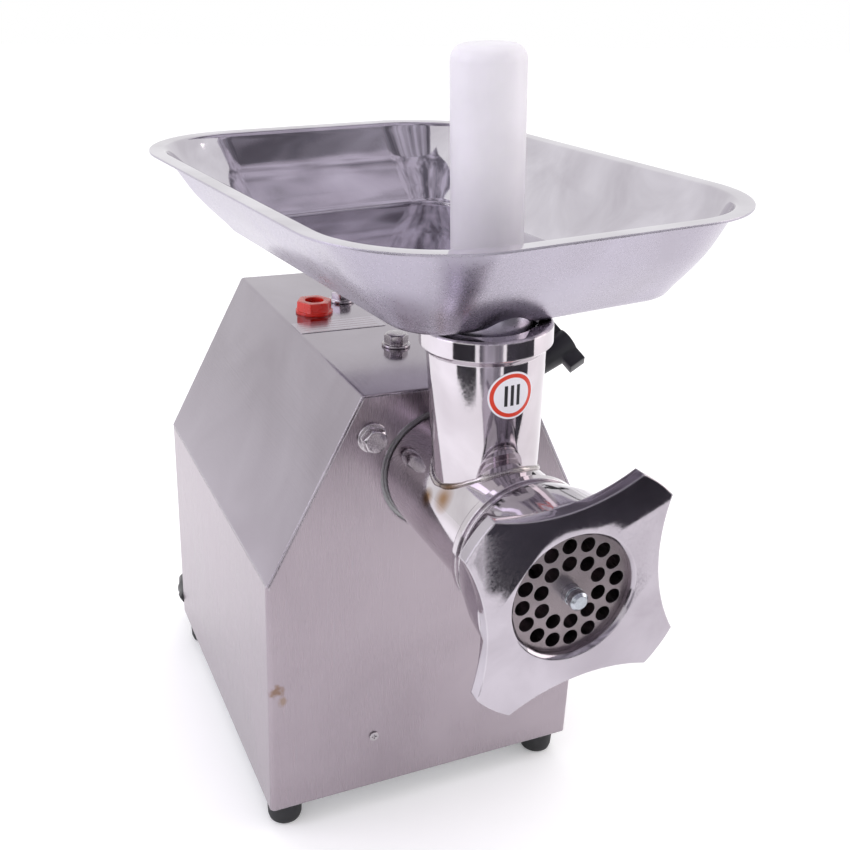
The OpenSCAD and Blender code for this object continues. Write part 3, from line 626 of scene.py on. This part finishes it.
deselect()
sticker_r = 0.0125
sticker_h = 0.0785
sticker_turn = math.radians(-91.5)
bpy.ops.mesh.primitive_circle_add(vertices=72, radius=sticker_r, fill_type="NGON")
sticker = bpy.context.object
sticker.name = "neck_roundel"
bpy.ops.object.mode_set(mode="EDIT")
bpy.ops.mesh.select_all(action="SELECT")
# Rings of faces, so that the disc bends evenly
ring_count = 9
for n in range(ring_count):
    bpy.ops.mesh.inset(thickness=sticker_r / 10)
bpy.ops.object.mode_set(mode="OBJECT")
sticker_map = sticker.data.uv_layers.new(name="face")
for loop in sticker.data.loops:
    flat = sticker.data.vertices[loop.vertex_index].co
    sticker_map.data[loop.index].uv = (0.5 + flat.x / sticker_r / 2, 0.5 + flat.y / sticker_r / 2)
flare_from, flare_h, flare_out = 0.025, 0.0695, 0.0028
glue = 0.00012
for corner in sticker.data.vertices:
    height = sticker_h + corner.co.y
    radius = neck_r + (height - flare_from) / flare_h * flare_out + glue
    angle = sticker_turn + corner.co.x / radius
    corner.co = neck_frame @ Vector((radius * math.cos(angle), radius * math.sin(angle), height))
film_wall = sticker.modifiers.new("film", "SOLIDIFY")
film_wall.thickness = 0.00015
film_wall.offset = 1
apply_all(sticker)
bpy.ops.object.shade_smooth_by_angle(angle=math.radians(40))

# The print in shares of the roundel's width: the ring's edges, the bars' reach, pitch and width
ring_outer, ring_inner = 0.462, 0.378
bars_tall, bars_wide = 0.22, 0.2
bar_pitch, bar_width, bars_from = 0.13, 0.07, 0.035
vinyl, tree = new_material("printed_vinyl")
uv = add_node(tree, "UVMap", uv_map="face").outputs["UV"]
flat = add_node(tree, "VectorMath", {0: uv, 1: (0.5, 0.5, 0)}, operation="SUBTRACT").outputs[0]
radius = add_node(tree, "VectorMath", {0: flat}, operation="LENGTH").outputs["Value"]
outer = add_node(tree, "Math", {0: radius, 1: ring_outer}, operation="LESS_THAN").outputs[0]
inner = add_node(tree, "Math", {0: radius, 1: ring_inner}, operation="GREATER_THAN").outputs[0]
ring_mask = add_node(tree, "Math", {0: outer, 1: inner}, operation="MULTIPLY").outputs[0]
parts = add_node(tree, "SeparateXYZ", {"Vector": flat})
tall = add_node(tree, "Math", {0: parts.outputs["Y"]}, operation="ABSOLUTE").outputs[0]
tall = add_node(tree, "Math", {0: tall, 1: bars_tall}, operation="LESS_THAN").outputs[0]
wide = add_node(tree, "Math", {0: parts.outputs["X"]}, operation="ABSOLUTE").outputs[0]
wide = add_node(tree, "Math", {0: wide, 1: bars_wide}, operation="LESS_THAN").outputs[0]
bars = add_node(tree, "Math", {0: parts.outputs["X"], 1: bars_from}, operation="ADD").outputs[0]
bars = add_node(tree, "Math", {0: bars, 1: bar_pitch}, operation="FLOORED_MODULO").outputs[0]
bars = add_node(tree, "Math", {0: bars, 1: bar_width}, operation="LESS_THAN").outputs[0]
bars = add_node(tree, "Math", {0: bars, 1: tall}, operation="MULTIPLY").outputs[0]
bars = add_node(tree, "Math", {0: bars, 1: wide}, operation="MULTIPLY").outputs[0]
speck = add_node(tree, "TexNoise", {"Vector": uv, "Scale": 60, "Detail": 3})
ground = add_node(tree, "ValToRGB", {"Fac": speck.outputs["Fac"]}, [(0.3, "#DCD9E2"), (0.7, "#E9E6EE")])
colour = add_node(tree, "Mix", {"Factor": bars, "A": ground.outputs["Color"], "B": linear("#28272C")},
                  data_type="RGBA").outputs["Result"]
colour = add_node(tree, "Mix", {"Factor": ring_mask, "A": colour, "B": linear("#D23B26")},
                  data_type="RGBA").outputs["Result"]
rough_map = add_node(tree, "MapRange", {"Value": speck.outputs["Fac"], "To Min": 0.25, "To Max": 0.4})
bump = add_node(tree, "Bump", {"Height": speck.outputs["Fac"], "Strength": 0.1, "Distance": 0.0001})
surface = add_node(tree, "BsdfPrincipled", {
    "Base Color": colour, "Roughness": rough_map.outputs[0], "Normal": bump.outputs[0], "IOR": 1.5})
add_node(tree, "OutputMaterial", {"Surface": surface.outputs[0]})
dress(vinyl, sticker)
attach(sticker, "head")

# --- Ring nut ---------------------------------------------------------------------------------
# A cast four-lobed ring nut, which screws on to the barrel and holds the hole plate. It is
# polished by hand, so its mirror face is a little wavy and its edges are soft.

lobes = softened("ring_nut_casting", "ring_nut", 0.0009, 3, 35)
dress(polished("polished_nut_casting", "#A099A1", "#BCB6BE", (0.05, 0.13), 34, 0.0012), lobes)

# --- Cutting set ------------------------------------------------------------------------------
# The hole plate and the four-bladed knife are ground tool steel, oiled and darker than the
# stainless round them. The auger is a tinned casting and turns on a nylon washer.

tool_steel = machined("ground_tool_steel", "#857C7F", "#9C9296", (0.25, 0.42), (0.5, 8, 0.5),
                      0.0003)
dress(tool_steel, "grinder_plate", "knife")
stud_steel = machined("turned_stud_steel", "#A9AEB6", "#C8CCD2", (0.14, 0.3), (6, 0.35, 6),
                      0.0005)
dress(stud_steel, "auger_stud")
tinned = machined("tinned_auger_casting", "#A9A4A2", "#C6C1BE", (0.25, 0.42), (2.5, 2.5, 2.5),
                  0.0008)
dress(tinned, "auger")
washer_nylon = moulded("white_nylon_washer", "#D2D0C8", "#E2E0D9", (0.35, 0.5), 0.8, 0.0001,
                       "#EFEDE6", 0.0004, through=0.1)
dress(washer_nylon, "auger_washer")

# --- Feed tray --------------------------------------------------------------------------------
# The pan is pressed from 1.2 mm stainless sheet with a flat lip, mirror inside and satin below;
# its spout is a tube welded in. Polishing leaves slow waves, smudges and hairline scratches.

tray_w = 0.252
tray_l = 0.340
tray_sheet = 0.0012
tray_centre_x, tray_centre_y = 0.0275, 0.108
tray_corner_r = 0.070
spout_bore_r = 0.0232
tray_seat_h = 0.1095
rim_mm = 50.8
tray_turn = Matrix.Rotation(math.radians(6.2), 4, "Z")
tray_tip = Matrix.Rotation(math.radians(2.0), 4, "Y") @ Matrix.Rotation(math.radians(0.5), 4, "X")
tray_frame = neck_frame @ Matrix.Translation((0, 0, tray_seat_h)) @ tray_turn @ tray_tip
# The pressing's lower face as (in from the rim, height above the floor, sideways draw) in
# millimetres
pan_profile = [(7.6, rim_mm, 0), (8.9, 50.3, 0), (9.8, 49.0, 0.2), (10.8, 46.6, 0.5),
               (13.4, 41.5, 1.0), (16.4, 36, 1.6), (19.4, 30.6, 2.1), (22.3, 26, 2.5),
               (26.2, 20.9, 3.0), (30.2, 16.0, 3.5), (34.4, 11.2, 4.0), (38.2, 6.9, 4.5),
               (40.7, 3.7, 4.8), (42.4, 1.7, 4.9), (44.2, 0.5, 5.0), (46.6, 0, 5.0), (60, 0, 5.0)]
deselect()
bpy.ops.mesh.primitive_plane_add(size=1, location=(tray_centre_x, tray_centre_y, rim_mm / 1000))
pan = bpy.context.object
pan.name = "tray_pressing"
pan.scale = (tray_w, tray_l, 1)
bpy.ops.object.transform_apply(location=True, scale=True)
bpy.ops.object.mode_set(mode="EDIT")
bpy.ops.mesh.select_all(action="SELECT")
bpy.ops.mesh.bevel(offset=tray_corner_r, segments=22, affect="VERTICES")
last_in, last_z, last_x = 0, rim_mm, 0
for level_in, level_z, level_x in pan_profile:
    bpy.ops.mesh.inset(thickness=(level_in - last_in) / 1000)
    bpy.ops.transform.translate(value=((level_x - last_x) / 1000, 0, (level_z - last_z) / 1000))
    last_in, last_z, last_x = level_in, level_z, level_x
bpy.ops.object.mode_set(mode="OBJECT")
tray_satin = polished("satin_polished_stainless", "#A9A4AF", "#B5B0BD", (0.24, 0.34), 50, 0.0006)
tray_mirror = polished("mirror_polished_stainless", "#BDB8C0", "#D6D2DA", (0.03, 0.09), 42, 0.0006)
# The sheet's upper face is the mirror and its lower face the satin
pan.data.materials.append(tray_mirror)
pan.data.materials.append(tray_satin)
wall = pan.modifiers.new("sheet", "SOLIDIFY")
wall.thickness = tray_sheet
wall.offset = 1
wall.material_offset = 1
wall.material_offset_rim = 1
apply_all(pan)
bpy.ops.mesh.primitive_cylinder_add(vertices=96, radius=spout_bore_r, depth=0.056,
                                    location=(0, 0, 0.018))
cut_with(pan, bpy.context.object)
bevelled(pan, 0.0004, 2, 50)
flats = pan.modifiers.new("flats", "WEIGHTED_NORMAL")
flats.keep_sharp = True
flats.weight = 100
apply_all(pan)
pan.data.transform(tray_frame)
dress(tray_satin, "tray_spout")
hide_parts("tray_pan")
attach(pan, "tray")

# --- Pusher -----------------------------------------------------------------------------------
# A solid rod of natural polyethylene, turned with a rounded top. Light goes some way into it,
# which gives a soft milky tone; handling has scuffed it along its length.

milky, tree = new_material("natural_polyethylene")
where = add_node(tree, "TexCoord").outputs["Object"]
place = add_node(tree, "Mapping", {"Vector": where, "Scale": (500, 500, 30)})
scuff = add_node(tree, "TexNoise", {"Vector": place.outputs[0], "Scale": 1.0, "Detail": 5})
cloud = add_node(tree, "TexNoise", {"Vector": where, "Scale": 30, "Detail": 3})
rough_map = add_node(tree, "MapRange", {"Value": scuff.outputs["Fac"], "To Min": 0.28, "To Max": 0.5})
bump = add_node(tree, "Bump", {"Height": scuff.outputs["Fac"], "Strength": 0.15, "Distance": 0.0002})
colour = add_node(tree, "ValToRGB", {"Fac": cloud.outputs["Fac"]}, [(0.3, "#D9D5DC"), (0.7, "#E4E0E7")])
surface = add_node(tree, "BsdfPrincipled", {
    "Base Color": colour.outputs["Color"], "Roughness": rough_map.outputs[0],
    "Normal": bump.outputs[0], "IOR": 1.5, "Subsurface Weight": 0.5,
    "Subsurface Radius": (0.012, 0.011, 0.013), "Transmission Weight": 0.05})
add_node(tree, "OutputMaterial", {"Surface": surface.outputs[0]})
dress(milky, "pusher")

# --- Gearbox ----------------------------------------------------------------------------------
# Inside the casing a die-cast aluminium gearbox carries the socket, ball bearings, an idler on
# bronze bushes and case-hardened gears in grease. Castings are matt, shafts ground, gears oily.

casting = machined("die_cast_aluminium", "#9C9D9F", "#B5B6B7", (0.42, 0.62), (1.2, 1.2, 1.2), 0.001)
dress(casting, "gearbox_housing", "gearbox_cover", "motor_housing", "front_bracket", "rear_bracket")
shaft_steel = machined("ground_shaft_steel", "#A6A6AA", "#C2C2C5", (0.12, 0.25), (8, 0.3, 8), 0.0004)
dress(shaft_steel, "output_shaft", "idler_shaft", "motor_shaft")
gear_steel = machined("oiled_gear_steel", "#6E6C6C", "#8E8B8A", (0.22, 0.42), (1.5, 1.5, 1.5), 0.0004)
dress(gear_steel, "output_gear", "idler_gear")
race_steel = machined("bearing_steel", "#AEAEB2", "#CCCCCF", (0.1, 0.22), (5, 0.4, 5), 0.0005)
dress(race_steel, "output_bearings", "motor_bearings")
bronze = machined("sintered_bronze", "#A87A45", "#C2935A", (0.35, 0.5), (0.6, 0.6, 0.6), 0.0004)
dress(bronze, "idler_bushes")
nitrile = moulded("nitrile_rubber", "#151515", "#242423", (0.45, 0.65), 0.8, 0.0001,
                  "#3B3B3A", 0.0004)
dress(nitrile, "oil_seal")

# --- Motor ------------------------------------------------------------------------------------
# A fan-cooled induction motor lies along the casing on its cradle: stacked electrical steel,
# enamelled copper, a moulded fan under a painted cowl, and a plastic-cased run capacitor.

stack = machined("stacked_electrical_steel", "#5B5C5F", "#85868A", (0.35, 0.55), (30, 0.7, 30),
                 0.0004, 0.0003)
dress(stack, "rotor_core", "stator_core")
copper = machined("enamelled_copper_wire", "#8F4A25", "#B8683A", (0.18, 0.35), (0.9, 12, 0.9),
                  0.0006, 0.0005)
dress(copper, "stator_windings")
fan_nylon = moulded("grey_fan_nylon", "#34373B", "#45494E", (0.38, 0.55), 0.7, 0.0001,
                    "#666B70", 0.0005)
dress(fan_nylon, "cooling_fan")
cowl_paint = moulded("black_enamel_paint", "#1D1F22", "#2A2D31", (0.3, 0.45), 1.6, 0.0001,
                     "#7B7E82", 0.0006, coat=0.2)
dress(cowl_paint, "fan_cowl")
cream_case = moulded("cream_capacitor_case", "#D5D3CA", "#E3E1D9", (0.32, 0.45), 1.2, 0.0001,
                     "#F0EEE7", 0.0006)
dress(cream_case, "capacitor")
